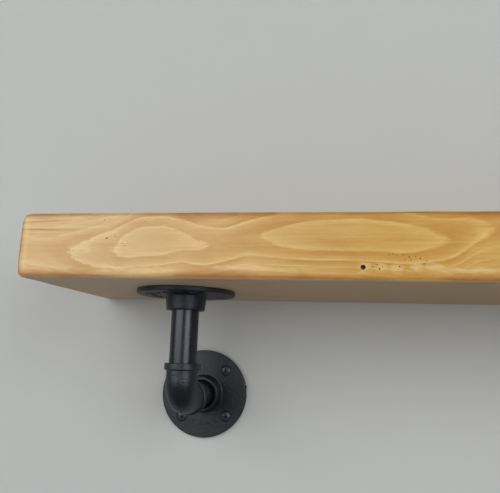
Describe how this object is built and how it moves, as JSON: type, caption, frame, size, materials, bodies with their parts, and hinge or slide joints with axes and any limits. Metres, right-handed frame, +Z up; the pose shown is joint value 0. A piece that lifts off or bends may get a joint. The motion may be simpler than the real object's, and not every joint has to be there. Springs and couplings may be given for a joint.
{
  "type": "wall shelf with brackets",
  "caption": "Thick timber wall shelf carried by two brackets of black pipe fittings: floor flange, upright pipe, elbow, arm pipe and wall flange on each side.",
  "frame": {"origin": "centre of the board's back edge face, on the wall plane", "axes": "+X along the shelf to the right as seen from the room, +Y into the wall, +Z up"},
  "size_m": [0.6, 0.1864, 0.1645],
  "materials": {
    "timber": "honey stained pine, satin, edges scorched brown",
    "black_casting": "black satin coating over a fine cast texture",
    "black_pipe": "smooth black satin coating",
    "black_screw": "black coated steel, satin"
  },
  "bodies": {
    "root": {"shelf_board": "timber", "left_shelf_flange": "black_casting", "left_upright_pipe": "black_pipe", "left_elbow": "black_casting", "left_arm_pipe": "black_pipe", "left_wall_flange": "black_casting", "left_shelf_screws": "black_screw", "left_wall_screws": "black_screw", "right_shelf_flange": "black_casting", "right_upright_pipe": "black_pipe", "right_elbow": "black_casting", "right_arm_pipe": "black_pipe", "right_wall_flange": "black_casting", "right_shelf_screws": "black_screw", "right_wall_screws": "black_screw"}
  },
  "joints": []
}
